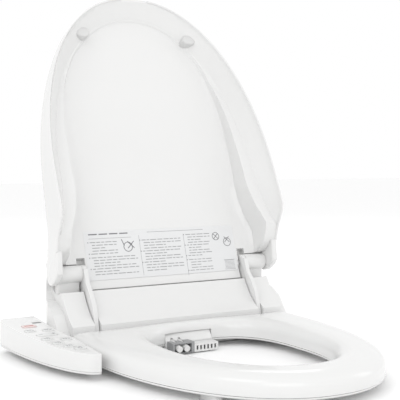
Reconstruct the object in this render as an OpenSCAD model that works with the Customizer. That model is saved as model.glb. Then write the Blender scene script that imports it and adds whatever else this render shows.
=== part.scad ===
// Electric bidet seat. Everything is in one frame: the middle of the two fixing bolts, on
// top of the bowl, is the origin. +Z is up, -Y is the front of the seat, +X is its right
// as seen from the front. The lid stands open and the seat ring lies down.

/* [Seat ring] */
// Top of the seat ring above the bowl
seat_top = 40.5; // [36:0.5:44]
// Underside of the seat ring above the bowl
seat_bottom = 10; // [8:0.5:14]
// Half width of the hole in the seat ring
hole_half_width = 104; // [85:1:112]
// Hinge axis to the front of the hole
hole_front = 362; // [300:1:366]
// Hinge axis to the back of the hole
hole_back = 82; // [80:1:100]
// Wall of the seat ring's two shells
seat_wall = 3; // [2:0.5:4]

/* [Lid] */
// Half width of the lid
lid_half_width = 190.4; // [190:0.2:196]
// Hinge axis to the front tip of the lid
lid_reach = 434; // [434:1:460]
// Wall of the lid
lid_wall = 3.4; // [2.5:0.1:4.4]
// Gap between the seat ring and the closed lid's wall round it
ring_gap = 3.5; // [2:0.5:6]
// Height of the closed lid's rim above the bowl
lid_rim = 28; // [24:1:32]
// Angle that the lid opens to, from closed
lid_open = 115; // [100:1:116]
// Width of the finger notch in the front of the lid
notch_width = 48; // [30:1:70]
// Depth of the finger notch
notch_depth = 4; // [2:0.5:8]

/* [Body] */
// Half width of the body
body_half_width = 195; // [192:1:215]
// Hinge axis to the back of the body
body_back = 72; // [70:1:100]
// Hinge axis to the front wall of the body
body_front = 58; // [56:0.5:59]
// Wall of the body's casings
body_wall = 3; // [2:0.5:4]
// Radius of the body's back corners in plan
corner_r = 88; // [60:1:92]

/* [Hinge] */
// Height of the hinge axis above the bowl
hinge_z = 112; // [108:1:120]
// Hinge axis in front of the fixing bolts
hinge_y = 40; // [36:1:50]
// Inner face of each seat arm, from the middle
arm_x = 135.7; // [134.5:0.1:137]
// Thickness of a seat arm
arm_t = 6.8; // [5:0.2:7.4]
// Radius of the damper barrels on the hinge axis
barrel_r = 12.5; // [10:0.5:13]
// Radius of the hinge pins
pin_r = 3; // [2:0.5:4]

/* [Fixing] */
// Distance between the two fixing bolts
bolt_spacing = 140; // [120:1:160]
// Diameter of the fixing slots in the mounting plate
bolt_hole = 9; // [7:0.5:11]
// Length of the fixing slots from centre to centre
slot_travel = 24; // [10:1:30]
// Half width of the mounting plate
plate_half_width = 104; // [95:1:115]
// Half length of the mounting plate
plate_half_length = 31; // [26:1:34]

/* [Control panel] */
// Outer side of the control panel, from the middle
wing_x = 250; // [240:1:270]
// Hinge axis to the front end of the control panel
wing_front = 187; // [150:1:200]
// Top of the control panel at its back
wing_top = 46; // [40:1:50]
// Underside of the control panel
wing_bottom = 9; // [6:1:14]
// Slope of the control panel's face, in degrees
wing_slope = 2.6; // [0:0.1:4]
// How far a button travels
button_travel = 0.8; // [0.4:0.1:1.2]

/* [Wash nozzles] */
// Distance of the nozzles' middle from the middle of the seat, to the left
nozzle_x = 30; // [20:1:40]
// Radius of a nozzle tube
nozzle_r = 4.5; // [3.5:0.5:5]
// How far a nozzle comes out
nozzle_travel = 56; // [30:1:60]
// Downward slope of the nozzles, in degrees
nozzle_slope = 12; // [8:1:15]

/* [Clearances] */
// Gap between fixed casings that meet
seam = 0.2; // [0.1:0.1:0.4]
// Gap between faces that slide or turn past each other
running = 0.4; // [0.3:0.1:0.8]
// Radial gap round a pin in its hole
pin_fit = 0.05; // [0.02:0.01:0.1]

/* [Hidden] */
$fn = 64;

// Hinge axis
hy = -hinge_y;
hz = hinge_z;
// Far end of a solid that only cuts
far = 600;

// Plan of the seat ring and of the lid round it
plan_widest = 125;
plan_power = 2.15;

// Seat ring
seat_half_width = lid_half_width - lid_wall - ring_gap;
seat_reach = lid_reach - lid_wall - ring_gap;
hole_middle = (hole_front + hole_back) / 2 - 14;
hole_power = 2.25;
seat_back = body_front + 2.5;
crown_h = 15;
crown_steps = 5;
arm_out = arm_x + arm_t;
// Back edge of a seat arm, about the hinge axis, from the bottom up
arm_back = [[-44, -78], [-22, -52], [4, -18]];
arm_room = 3;
arm_hub_r = 12.4;
seat_buffer_at = [[-142, -120], [142, -120], [-118, -330], [118, -330]];

// Lid, in its closed place about the hinge axis
rim_z = lid_rim - hinge_z;
lid_top = 17;
lid_tip_top = rim_z + 29;
lid_tail_r = 26;
liner_top = 0.5;
liner_tip = rim_z + 23;
liner_half = 132;
liner_back = 18;
liner_angle = atan((liner_top - liner_tip) / (lid_reach + liner_back));
label_middle = 24;
label_length = 74;
lid_inner = lid_half_width - lid_wall;
lobe_in = lid_half_width - 10.4;
recess_in = lobe_in - 2;
buffer_x = 96;
buffer_y = 372;
buffer_r = 10;

// Body
trough_r = lid_tail_r + 2;
hump_top = 15;
hump_bevel = 20;
base_bottom = 1;
base_top = 14;
back_y = hy + body_back;
screw_y = [hy - body_front + body_wall + 3.4, back_y - body_wall - 3.4];
screw_at = [for (x = [-112, 112], y = screw_y) [x, y]];
foot_at = [[-165, -82], [165, -82], [-138, 10], [138, 10]];
foot_r = 9;
slot_in = arm_x - 1.5;
slot_out = arm_out + 1.5;

// Damper barrels, between the seat arms and the lid's side walls
barrel_in = arm_out + running;
barrel_out = lobe_in - running;
post_t = 12;

// Mounting plate
plate_lip = 6;
plate_low = 3;
plate_high = 6;
bolt_room = 24;
release_y = -66;

// Control panel
wing_in = body_half_width;
wing_near_lid = lid_half_width + 2;
wing_middle_y = -6;
wing_back = 12;
wing_wall = 2.4;
wing_floor = 3;
button_h = 4;
button_proud = 0.9;
button_gap = 0.35;

// Buttons: x and y of the middle, and the size of the cap
stop_at = [-224, -48];
stop_size = [20, 13];
wash_at = [-232, -76];
front_wash_at = [-208, -80];
pressure_at = [-218, -104];
pressure_size = [30, 13];
dry_at = [-227, -128];
nozzle_at = [-204, -138];
water_heat_at = [-222, -154];
seat_heat_at = [-214, -174];
power_at = [-206, -190];
small_size = [15, 10];
window_at = [-206, -30];
window_size = [14, 8];

// Wash unit
tip_y = -150;
tip_z = 8.4;
nozzle_pitch = 12;
gear_r = 8;
gear_teeth = 12;
tooth_pitch = 2 * PI * gear_r / gear_teeth;
gear_y = 70;
gear_rise = nozzle_r + 1 + gear_r;
nozzle_length = gear_y + nozzle_travel + 5;
rack_count = floor((nozzle_travel + 14) / tooth_pitch);
cover_front = hy - body_front - 29;
arch_top = 27.5;
arch_left = -nozzle_x - 18;
outlet_front = tip_y + 4;
outlet_top = 13;
outlet_x = 10;
outlet_half = 20;

// Warm air
fan_at = [10, -40, 54];
fan_r = 22;

// Water and cord, at the back
inlet_x = 92;
inlet_z = 28;
inlet_r = 10.5;
inlet_neck = 8.6;
inlet_out = 12;
drain_x = -96;
drain_z = 27;
drain_r = 9;
gland_x = 55;
gland_z = 30;
gland_r = 7;

// A closed outline: a superellipse in front, tapering to the back.
function front_arc(a, mid, reach, n, steps = 40) = [
    for (i = [0:steps])
        let (t = 180 * i / steps, c = cos(t), s = sin(t))
        [a * sign(c) * pow(abs(c), 2 / n), -mid - (reach - mid) * pow(abs(s), 2 / n)]
];

module seat_outline(inset, back) {
    polygon(concat(
        front_arc(seat_half_width - inset, plan_widest, seat_reach - inset, plan_power),
        [[-(seat_half_width - inset), -back], [seat_half_width - inset, -back]]
    ));
}

module hole_outline(grow) {
    a = hole_half_width + grow;
    polygon(concat(
        front_arc(a, hole_middle, hole_front + grow, hole_power, 32),
        [for (p = front_arc(a, 0, hole_middle - hole_back + grow, hole_power + 0.9, 24)) [-p[0], -hole_middle - p[1]]]
    ));
}

module lid_outline(inset, back = 30) {
    a = lid_half_width - inset;
    polygon(concat(
        front_arc(a, plan_widest, lid_reach - inset, plan_power),
        [[-a, back], [a, back]]
    ));
}

// Points of a smooth curve from a to c that leaves and arrives towards b
function curve(a, b, c, steps = 8) = [
    for (i = [0:steps]) let (t = i / steps) (1 - t) * (1 - t) * a + 2 * t * (1 - t) * b + t * t * c
];

// Puts its children on the hinge axis
module at_hinge() {
    translate([0, hy, hz]) children();
}

// A Y-Z outline made solid from x = a to x = b
module side_slab(a, b) {
    translate([a, 0, 0]) rotate([90, 0, 90]) linear_extrude(b - a) children();
}

// A cylinder along X from a to b
module rod_x(r, a, b) {
    translate([a, 0, 0]) rotate([0, 90, 0]) cylinder(r = r, h = b - a);
}

module rounded_box(size, r) {
    linear_extrude(size[2]) rounded_plate(size, r);
}

// A rectangle with round corners, centred
module rounded_plate(size, r) {
    union() {
        square([size[0] - 2 * r, size[1]], center = true);
        square([size[0], size[1] - 2 * r], center = true);
        for (x = [-1, 1], y = [-1, 1])
            translate([x * (size[0] / 2 - r), y * (size[1] / 2 - r)]) circle(r = r, $fn = 32);
    }
}

// ---------------------------------------------------------------- mounting plate

// A fixing slot, long from side to side
module slot_hole(x, r, z0, z1) {
    translate([x, 0, z0]) {
        for (s = [-1, 1]) translate([s * slot_travel / 2, 0, 0]) cylinder(r = r, h = z1 - z0);
        translate([-slot_travel / 2, -r, 0]) cube([slot_travel, 2 * r, z1 - z0]);
    }
}

// Plate bolted to the bowl, with a lip along both sides
module mounting_plate() {
    color("gainsboro") difference() {
        union() {
            translate([-plate_half_width + plate_lip, -plate_half_length, 0])
                cube([2 * (plate_half_width - plate_lip), 2 * plate_half_length, plate_high]);
            translate([-plate_half_width, -plate_half_length, plate_low])
                cube([2 * plate_half_width, 2 * plate_half_length, plate_high - plate_low]);
        }
        for (s = [-1, 1]) slot_hole(s * bolt_spacing / 2, bolt_hole / 2, -1, plate_high + 1);
    }
}

// ---------------------------------------------------------------- body

// Plan of the body, with round back corners
module body_plan(inset) {
    w = body_half_width - inset;
    r = corner_r - inset;
    back = back_y - inset;
    front = hy - body_front + inset;
    intersection() {
        union() {
            translate([-w, front]) square([2 * w, back - r - front]);
            translate([-w + r, front]) square([2 * (w - r), back - front]);
            for (s = [-1, 1]) translate([s * (w - r), back - r]) circle(r = r);
        }
        translate([-w, front]) square([2 * w, back - front]);
    }
}

// Side view of the body about the hinge axis: front wall, lip, hump and back
module body_side(inset) {
    top = hump_top - inset;
    back = body_back - inset;
    bottom = base_top - hinge_z;
    polygon(concat(
        [[-body_front + inset, bottom]],
        [for (p = curve([-body_front, -67], [-35, -54], [-17.5, -24])) [p[0] + inset, p[1] - inset]],
        [[-12 + inset, -24 - inset], [20, top], [back - hump_bevel, top]],
        [[back, top - hump_bevel], [back, bottom]]
    ));
}

// Where the lid's side walls come down beside the body
module wall_recess_side() {
    polygon([
        [-body_front - 5, -94], [-56, -91], [-38, -67], [-28, -54], [-12, -45],
        [0, -39], [12, -37], [21, -27], [24, -12], [24, 40], [-body_front - 5, 40]
    ]);
}

// Upper casing of the body, with a trough along the hinge axis
module body_cover() {
    color("white") difference() {
        intersection() {
            at_hinge() side_slab(-body_half_width, body_half_width) body_side(0);
            linear_extrude(far) body_plan(0);
        }
        intersection() {
            at_hinge() side_slab(-body_half_width, body_half_width)
                translate([0, -1]) body_side(body_wall);
            linear_extrude(far) body_plan(body_wall);
            difference() {
                translate([-far, -far, 0]) cube([2 * far, 2 * far, far]);
                at_hinge() rod_x(trough_r + body_wall, -far, far);
                for (s = [-1, 1]) mirror([s < 0 ? 1 : 0, 0, 0]) at_hinge() {
                    side_slab(slot_in - body_wall, slot_out + body_wall) arm_slot_side(body_wall);
                    side_slab(recess_in - body_wall, far)
                        translate([body_wall, -body_wall]) wall_recess_side();
                }
            }
        }
        at_hinge() rod_x(trough_r, -far, far);
        for (s = [-1, 1]) mirror([s < 0 ? 1 : 0, 0, 0]) at_hinge() {
            side_slab(slot_in, slot_out) arm_slot_side(0);
            side_slab(recess_in, far) wall_recess_side();
        }
        nozzle_bay();
        release_hole();
        back_holes();
    }
    // bosses for the case screws
    color("white") for (p = screw_at) translate([p[0], p[1], base_top]) difference() {
        cylinder(r = 4.6, h = 12);
        translate([0, 0, -1]) cylinder(r = 1.8 + pin_fit, h = 11);
    }
}

// Openings in the back wall for the water inlet, the drain plug and the cord's gland
module back_holes() {
    translate([inlet_x, 0, inlet_z]) tube_y(inlet_neck + seam, 20, 60);
    translate([drain_x, 0, drain_z]) tube_y(drain_r + seam, 20, 60);
    translate([gland_x, 0, gland_z]) tube_y(gland_r + seam, 20, 60);
}

// Opening in the front wall for the nozzles and the warm air
module nozzle_bay() {
    translate([arch_left + 2, hy - body_front - 5, 0])
        cube([outlet_x + outlet_half - arch_left, 16, arch_top]);
}

// Opening in the body's end for the release button
module release_hole() {
    translate([body_half_width - body_wall - 6, release_y - 11.4, 21]) cube([20, 22.8, 12.8]);
}

// Side view of the slot that a seat arm lies in
module arm_slot_side(grow) {
    polygon(concat(
        [[-body_front - 5, -108 - grow], [arm_back[0][0] + arm_room + grow, -108 - grow]],
        [for (p = arm_back) [p[0] + arm_room + grow, p[1] - grow]],
        [[8, 20], [-body_front - 5, 20]]
    ));
}

// Lower casing of the body, which slides on to the mounting plate
module body_base() {
    color("whitesmoke") difference() {
        translate([0, 0, base_bottom]) linear_extrude(base_top - base_bottom - seam) body_plan(0);
        difference() {
            translate([0, 0, base_bottom + body_wall]) linear_extrude(base_top) body_plan(body_wall);
            // raised floor over the mounting plate
            translate([-plate_half_width - 3, -plate_half_length - 3, 0])
                cube([2 * plate_half_width + 6, far, plate_high + running + 2]);
            for (p = screw_at) translate([p[0], p[1], 0]) cylinder(r = 5.6, h = base_top - seam);
        }
        // way of the plate, open to the back
        translate([-plate_half_width - running, -plate_half_length - running, plate_low - running])
            cube([2 * (plate_half_width + running), far, plate_high - plate_low + 2 * running]);
        translate([-plate_half_width + plate_lip - running, -plate_half_length - running, 0])
            cube([2 * (plate_half_width - plate_lip + running), far, plate_high]);
        // channels for the heads of the fixing bolts, open to the back
        for (s = [-1, 1]) translate([s * bolt_spacing / 2 - slot_travel / 2 - bolt_room / 2, -bolt_room / 2, 0])
            cube([slot_travel + bolt_room, far, base_top + 1]);
        nozzle_bay();
        for (s = [-1, 1]) mirror([s < 0 ? 1 : 0, 0, 0]) at_hinge()
            side_slab(slot_in, slot_out) arm_slot_side(0);
        back_holes();
        for (p = screw_at) translate([p[0], p[1], 0]) {
            cylinder(r = 2.2, h = base_top);
            cylinder(r = 3.8, h = base_bottom + 3.2);
        }
    }
}

// Flat pads under the base, on the rim of the bowl
module body_feet() {
    color("dimgray") for (p = foot_at)
        translate([p[0], p[1], 0]) cylinder(r = foot_r, h = base_bottom);
}

// Button in the body's end that frees it from the mounting plate
module release_button() {
    color("lightgray") union() {
        translate([body_half_width - body_wall - 3, release_y - 11, 21.4]) cube([body_wall + 3.8, 22, 12]);
        translate([body_half_width - body_wall - 2.6, release_y - 12.5, 20]) cube([2.2, 25, 14.8]);
    }
}

// ---------------------------------------------------------------- hinge

// A hollow damper barrel on a post that stands in the trough
module hinge_barrel() {
    difference() {
        union() {
            at_hinge() rod_x(barrel_r, barrel_in, barrel_out);
            translate([barrel_in + 2, hy - 3, hz - trough_r - 4])
                cube([barrel_out - barrel_in - 4, post_t, trough_r - barrel_r + 8]);
        }
        at_hinge() rod_x(pin_r, barrel_in - 1, barrel_out + 1);
        at_hinge() rod_x(barrel_r - 3, barrel_in + 5, barrel_out - 5);
        // seat of the post on the trough
        difference() {
            translate([barrel_in, hy - 20, hz - trough_r - 6]) cube([60, 40, 12]);
            at_hinge() rod_x(trough_r - 0.01, 0, far);
        }
    }
}

module hinge_barrel_left() {
    color("white") mirror([1, 0, 0]) hinge_barrel();
}

module hinge_barrel_right() {
    color("white") hinge_barrel();
}

module hinge_pin() {
    at_hinge() rod_x(pin_r - pin_fit, arm_x - 3, lid_half_width - 1.5);
}

module hinge_pin_left() {
    color("silver") mirror([1, 0, 0]) hinge_pin();
}

module hinge_pin_right() {
    color("silver") hinge_pin();
}

// Rotary damper inside a barrel, round the pin
module damper() {
    at_hinge() difference() {
        rod_x(barrel_r - 3 - seam, barrel_in + 5 + seam, barrel_out - 5 - seam);
        rod_x(pin_r + 0.3, 0, far);
    }
}

module seat_damper() {
    color("darkgray") mirror([1, 0, 0]) damper();
}

module lid_damper() {
    color("darkgray") damper();
}

// ---------------------------------------------------------------- seat ring

// Rounded ring section: nested slices that step in towards the top
module ring_stack(top, low) {
    side_top = top - crown_h;
    union() for (i = [0:crown_steps]) {
        a = i == 0 ? 0 : 90 * (i - 0.5) / crown_steps;
        in = (1 - cos(a)) * 22;
        translate([0, 0, low]) linear_extrude(side_top + crown_h * sin(90 * i / crown_steps) - low) difference() {
            seat_outline(in, seat_back);
            hole_outline(in * 1.1);
        }
    }
}

// Arch under the back of the ring, over the wash unit
module arch_plan(grow) {
    translate([arch_left - grow, -seat_back - 26 - grow])
        square([outlet_x + outlet_half + 2 - arch_left + 2 * grow, 30 + grow]);
}

// Slots in the ring's back that the seat arms' feet come up through
module arm_foot_room() {
    for (s = [-1, 1]) mirror([s < 0 ? 1 : 0, 0, 0])
        translate([arm_x - running, hy - seat_back - 24, seat_bottom + seat_wall])
            cube([arm_t + 2 * running, 30, far]);
}

// Upper shell of the ring, hollow from below
module seat_shell() {
    color("white") translate([0, hy, 0]) difference() {
        ring_stack(seat_top, seat_bottom + seat_wall + seam);
        translate([0, 0, seat_bottom]) linear_extrude(seat_top - crown_h - seat_bottom + 8) difference() {
            seat_outline(seat_wall + 5, seat_back + seat_wall);
            hole_outline(seat_wall + 8);
            arch_plan(seat_wall);
        }
        translate([0, 0, -1]) linear_extrude(arch_top + 1) arch_plan(0);
        translate([0, -hy, 0]) arm_foot_room();
    }
}

module seat_base() {
    color("whitesmoke") translate([0, hy, seat_bottom]) linear_extrude(seat_wall) difference() {
        seat_outline(0, seat_back);
        hole_outline(0);
        arch_plan(0);
    }
}

// Flat warming element under the top of the ring
module seat_heater() {
    color("gold") translate([0, hy, seat_top - crown_h + 8 - 1.4]) linear_extrude(1.2) difference() {
        seat_outline(26, seat_back + 30);
        hole_outline(24);
    }
}

// A seat arm: side view about the hinge axis
module seat_arm() {
    foot = seat_bottom + seat_wall - hinge_z;
    at_hinge() difference() {
        union() {
            rod_x(arm_hub_r, arm_x, arm_out);
            side_slab(arm_x, arm_out) polygon(concat(
                [[-14, 8], [9, 8], [12, 0]],
                [arm_back[2], arm_back[1], arm_back[0]],
                [
                    [-46, foot], [-seat_back - 20, foot], [-seat_back - 20, foot + 8],
                    [-seat_back + 3, foot + 12], [-54, -78], [-51, -64], [-45, -42],
                    [-34, -25], [-21, -12], [-17, 0]
                ]
            ));
        }
        rod_x(pin_r, 0, far);
    }
}

module seat_arm_left() {
    color("white") mirror([1, 0, 0]) seat_arm();
}

module seat_arm_right() {
    color("white") seat_arm();
}

// Pads that the ring rests on the bowl with
module seat_buffers() {
    color("whitesmoke") for (p = seat_buffer_at)
        translate([p[0], hy + p[1], 0]) linear_extrude(seat_bottom) rounded_plate([16, 34], 7);
}

// ---------------------------------------------------------------- lid

// Turns the closed lid, built about the hinge axis, to its open place
module opened() {
    at_hinge() rotate([-lid_open, 0, 0]) children();
}

// Outer side view of the closed lid, back edge along the body's front
module lid_side() {
    polygon([
        [lid_tail_r, lid_top], [0, lid_top], [-lid_reach, lid_tip_top], [-lid_reach, rim_z],
        [-66, rim_z], [-54, -74], [-43, -60], [-29, -48], [-15, -39],
        [-15, liner_top - 2], [lid_tail_r, liner_top - 2]
    ]);
}

// Lobe of the lid's side wall round the hinge pin
module lobe_side() {
    polygon([
        [-22, 10], [-22, -42], [-15, -39], [-5, -34.5], [3, -32.5], [8.6, -30], [13, -23],
        [16, -13], [16.4, -3], [14.5, 7], [9, 13], [0, lid_top - 2]
    ]);
}

// Inside of the lid, under its top wall
module lid_hollow_side() {
    polygon([
        [-9, lid_top - 3], [-lid_reach, lid_tip_top - lid_wall], [-lid_reach, rim_z - 9],
        [far, rim_z - 9], [far, lid_top - 3]
    ]);
}

module lid_shell() {
    color("white") opened() union() {
        difference() {
            intersection() {
                side_slab(-lid_half_width, lid_half_width) lid_side();
                translate([0, 0, -far]) linear_extrude(2 * far) lid_outline(0);
                union() {
                    translate([-far, -far, -far]) cube([2 * far, far, 2 * far]);
                    rod_x(lid_tail_r, -far, far);
                }
            }
            intersection() {
                side_slab(-lid_inner, lid_inner) lid_hollow_side();
                translate([0, 0, -far]) linear_extrude(2 * far) lid_outline(lid_half_width - lid_inner);
            }
            // the back edge stops short of the barrels' posts, and leaves the lobes free
            for (s = [-1, 1]) mirror([s < 0 ? 1 : 0, 0, 0]) {
                translate([liner_half + 0.6, 7, -far]) cube([far, far, 2 * far]);
                translate([lobe_in - 0.6, 0, -far]) cube([far, far, 2 * far]);
                rod_x(pin_r, lobe_in - 1, lid_half_width - 1.2);
            }
            // finger notch
            translate([-notch_width / 2, -lid_reach - 1, rim_z - 1]) cube([notch_width, 9, notch_depth + 1]);
        }
        for (s = [-1, 1]) mirror([s < 0 ? 1 : 0, 0, 0]) difference() {
            side_slab(lobe_in, lid_half_width) lobe_side();
            rod_x(pin_r, lobe_in - 1, lid_half_width - 1.2);
        }
    }
}

// Inner panel of the lid, clear of the seat and the arms
module lid_liner() {
    step = lid_half_width - lid_inner + seam;
    color("white") opened() difference() {
        intersection() {
            side_slab(-lid_inner, lid_inner) polygon([
                [liner_back, liner_top], [-lid_reach, liner_tip],
                [-lid_reach, liner_tip + 2.4], [liner_back, liner_top + 2.4]
            ]);
            translate([0, 0, -far]) linear_extrude(2 * far) lid_outline(step);
            union() {
                translate([-far, -far, -far]) cube([2 * far, far - 34, 2 * far]);
                translate([-liner_half, -far, -far]) cube([2 * liner_half, 2 * far, 2 * far]);
            }
        }
        at_tip_wall();
    }
}

// Keeps the liner off the front wall of the lid
module at_tip_wall() {
    translate([-far, -lid_reach - 1, -far]) cube([2 * far, lid_wall + 3.6, 2 * far]);
}

// Children lie on the inner panel, y in front of the hinge axis
module on_liner(y) {
    translate([0, -y, liner_top - tan(liner_angle) * (liner_back + y)])
        rotate([liner_angle, 0, 0]) children();
}

// Pads that the closed lid rests on the seat ring with
module lid_buffers() {
    h = liner_top - tan(liner_angle) * (liner_back + buffer_y) - (seat_top - hinge_z) - 1;
    color("white") opened() for (s = [-1, 1]) translate([s * buffer_x, 0, 0]) on_liner(buffer_y)
        translate([0, 0, -h]) cylinder(r = buffer_r, h = h);
}

// Plain care label on the inner panel, along its back edge
module lid_label() {
    color("lightgray") opened() on_liner(label_middle) translate([0, 0, -0.4])
        linear_extrude(0.4) square([2 * liner_half, label_length], center = true);
}

// ---------------------------------------------------------------- control panel

// Plan of the control panel beside the body and the seat
module wing_plan(inset) {
    a = wing_x - wing_near_lid - inset;
    b = wing_front + hy * -1 + wing_middle_y - inset;
    steps = 24;
    polygon(concat(
        [for (i = [0:steps]) let (t = 90 * i / steps)
            [-wing_near_lid - a * cos(t), wing_middle_y - b * sin(t)]],
        [[-wing_near_lid - inset, hy - body_front - 2], [-wing_in - inset, hy - body_front - 2]],
        [[-wing_in - inset, wing_back - inset]],
        [for (i = [0:8]) let (t = 90 - 90 * i / 8)
            [-wing_x + inset + 14 - 14 * cos(t), wing_back - inset - 14 + 14 * sin(t)]]
    ));
}

// Everything under the sloping face, lowered by drop
module under_face(drop) {
    translate([0, wing_back, wing_top - drop]) rotate([wing_slope, 0, 0])
        translate([-far, -far, -far]) cube([2 * far, 2 * far, far]);
}

module on_face(at, drop = 0) {
    translate([at[0], wing_back, wing_top]) rotate([wing_slope, 0, 0])
        translate([0, (at[1] - wing_back) / cos(wing_slope), -drop]) children();
}

module button_holes(gap) {
    on_face(stop_at, 10) rounded_box([stop_size[0] + 2 * gap, stop_size[1] + 2 * gap, 20], 3);
    on_face(pressure_at, 10) rounded_box([pressure_size[0] + 2 * gap, pressure_size[1] + 2 * gap, 20], 6);
    for (p = [wash_at, front_wash_at, dry_at, nozzle_at, water_heat_at, seat_heat_at, power_at])
        on_face(p, 10) rounded_box([small_size[0] + 2 * gap, small_size[1] + 2 * gap, 20], 3);
}

// Upper casing of the control panel
module wing_cover() {
    color("white") difference() {
        intersection() {
            translate([0, 0, wing_bottom + wing_floor + seam])
                linear_extrude(far) wing_plan(0);
            under_face(0);
        }
        intersection() {
            linear_extrude(far) wing_plan(wing_wall);
            under_face(wing_wall);
        }
        button_holes(button_gap);
        on_face(window_at, 5) rounded_box([window_size[0], window_size[1], 10], 2);
    }
}

// Lower casing of the control panel
module wing_base() {
    color("whitesmoke") translate([0, 0, wing_bottom]) linear_extrude(wing_floor) wing_plan(0);
}

// Board under the buttons
module wing_board() {
    color("seagreen") on_face([-212, -100], wing_wall + button_h + 1.8)
        rounded_box([22, 140, 1.6], 3);
}

// Dark window that the remote signal comes in through
module wing_window() {
    color("black") on_face(window_at, wing_wall)
        rounded_box([window_size[0] - 0.2, window_size[1] - 0.2, wing_wall - 0.2], 1.9);
}

// A button: cap through the face, with a flange below it
module button(at, size, r) {
    on_face(at, wing_wall + button_travel + 1.4) union() {
        rounded_box([size[0], size[1], wing_wall + button_travel + 1.4 + button_proud], r);
        rounded_box([size[0] + 3, size[1] + 3, 1.2], r);
    }
}

module button_stop() {
    color("firebrick") button(stop_at, stop_size, 3);
}

module button_wash() {
    color("lightgray") button(wash_at, small_size, 3);
}

module button_front_wash() {
    color("lightgray") button(front_wash_at, small_size, 3);
}

module button_pressure() {
    color("lightgray") button(pressure_at, pressure_size, 6);
}

module button_dry() {
    color("lightgray") button(dry_at, small_size, 3);
}

module button_nozzle() {
    color("lightgray") button(nozzle_at, small_size, 3);
}

module button_water_heat() {
    color("lightgray") button(water_heat_at, small_size, 3);
}

module button_seat_heat() {
    color("lightgray") button(seat_heat_at, small_size, 3);
}

module button_power() {
    color("lightgray") button(power_at, small_size, 3);
}

// ---------------------------------------------------------------- wash unit

// Children are laid along a nozzle: -Y is out of its tip
module along_nozzle(side) {
    translate([-nozzle_x + side * nozzle_pitch / 2, tip_y, tip_z]) rotate([nozzle_slope, 0, 0]) children();
}

module tube_y(r, a, b) {
    translate([0, a, 0]) rotate([-90, 0, 0]) cylinder(r = r, h = b - a);
}

// A nozzle tube with its rack on top, and a hole near its tip
module nozzle(side) {
    difference() {
        along_nozzle(side) union() {
            tube_y(nozzle_r, 0, nozzle_length);
            translate([-1.5, gear_y - 12, 0]) cube([3, nozzle_length - gear_y + 12, nozzle_r + 0.2]);
            // teeth of the rack
            for (i = [-2:rack_count - 2])
                translate([-1.5, gear_y + (i + 0.5) * tooth_pitch - 0.6, nozzle_r - 1]) cube([3, 1.2, 2.2]);
        }
        along_nozzle(side) translate([0, 9, 0]) cylinder(r = 1.1, h = 8);
        along_nozzle(side) tube_y(2, 6, nozzle_length + 1);
    }
}

module wash_nozzle() {
    color("white") nozzle(-1);
}

module front_nozzle() {
    color("white") nozzle(1);
}

// Ways of both nozzles, cut from what holds them
module nozzle_ways() {
    for (s = [-1, 1]) along_nozzle(s) {
        tube_y(nozzle_r + running, -30, nozzle_length + 20);
        translate([-1.5 - running, -30, 0]) cube([3 + 2 * running, nozzle_length + 50, nozzle_r + 1.2 + running]);
    }
}

// White housing under the arch of the seat ring
module wash_cover() {
    back = hy - body_front - seam;
    low = base_bottom + 0.4;
    color("white") difference() {
        side_slab(arch_left + 1.5, outlet_x + outlet_half + 0.5) polygon([
            [back, low], [back, arch_top - 1], [cover_front + 7, arch_top - 1],
            [cover_front, outlet_top + 2], [cover_front, low]
        ]);
        nozzle_ways();
        translate([outlet_x - outlet_half - seam, cover_front - 1, low - 1])
            cube([2 * outlet_half + 2 * seam, 60, outlet_top - low + 1 + seam]);
    }
}

// Guard round the nozzle tips, in front of the housing
module nozzle_guard() {
    low = base_bottom + 0.4;
    right = outlet_x - outlet_half - seam;
    color("silver") difference() {
        translate([arch_left + 3, outlet_front, low])
            cube([right - arch_left - 3, cover_front - seam - outlet_front, outlet_top - low + 4]);
        translate([arch_left + 5.5, outlet_front - 1, low + 1.2])
            cube([right - arch_left - 10, 60, outlet_top - low + 0.6]);
        nozzle_ways();
    }
}

// Cradle that both nozzles slide in
module nozzle_cradle() {
    w = 2 * nozzle_r + nozzle_pitch + 6;
    front = hy - body_front + body_wall - tip_y + 2;
    color("gray") difference() {
        intersection() {
            along_nozzle(0) translate([-w / 2, front, -nozzle_r - 3])
                cube([w, nozzle_length - front - 4, 2 * nozzle_r + 3.4]);
            translate([-far, -far, base_bottom + body_wall + 0.4]) cube([2 * far, 2 * far, far]);
        }
        nozzle_ways();
        for (s = [-1, 1]) along_nozzle(s) translate([-2.6, gear_y - 10, 0]) cube([5.2, 20, 40]);
    }
}

// Pinion that drives a nozzle's rack
module drive_gear(side) {
    along_nozzle(side) translate([0, gear_y, gear_rise]) difference() {
        side_slab(-2, 2) polygon([
            for (i = [0:gear_teeth - 1], k = [[-9, -1.2], [-5, 0.6], [5, 0.6], [9, -1.2]])
                let (a = i * 360 / gear_teeth + k[0] - 90, r = gear_r + k[1])
                [r * cos(a), r * sin(a)]
        ]);
        rod_x(1.5, -20, 20);
    }
}

module wash_gear() {
    color("ivory") drive_gear(-1);
}

module front_gear() {
    color("ivory") drive_gear(1);
}

// Small motor with its shaft in the gear
module drive_motor(side) {
    color("dimgray") along_nozzle(side) translate([0, gear_y, gear_rise])
        mirror([side < 0 ? 1 : 0, 0, 0]) union() {
            rod_x(1.5 - pin_fit, -2.4, 4);
            rod_x(8, 3.4, 16);
        }
}

module wash_motor() {
    drive_motor(-1);
}

module front_motor() {
    drive_motor(1);
}

// ---------------------------------------------------------------- warm air

// Slotted outlet of the warm air, beside the nozzles
module air_outlet() {
    w = 2 * outlet_half;
    low = base_bottom + 0.4;
    color("whitesmoke") translate([outlet_x - outlet_half, outlet_front, low]) difference() {
        cube([w, hy - body_front - seam - outlet_front, outlet_top - low]);
        translate([2, 2.2, 2]) cube([w - 4, far, outlet_top - low - 4]);
        for (i = [0:5]) translate([3.5 + i * 6, -1, 2.6]) cube([3, 5, outlet_top - low - 5.2]);
    }
}

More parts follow.
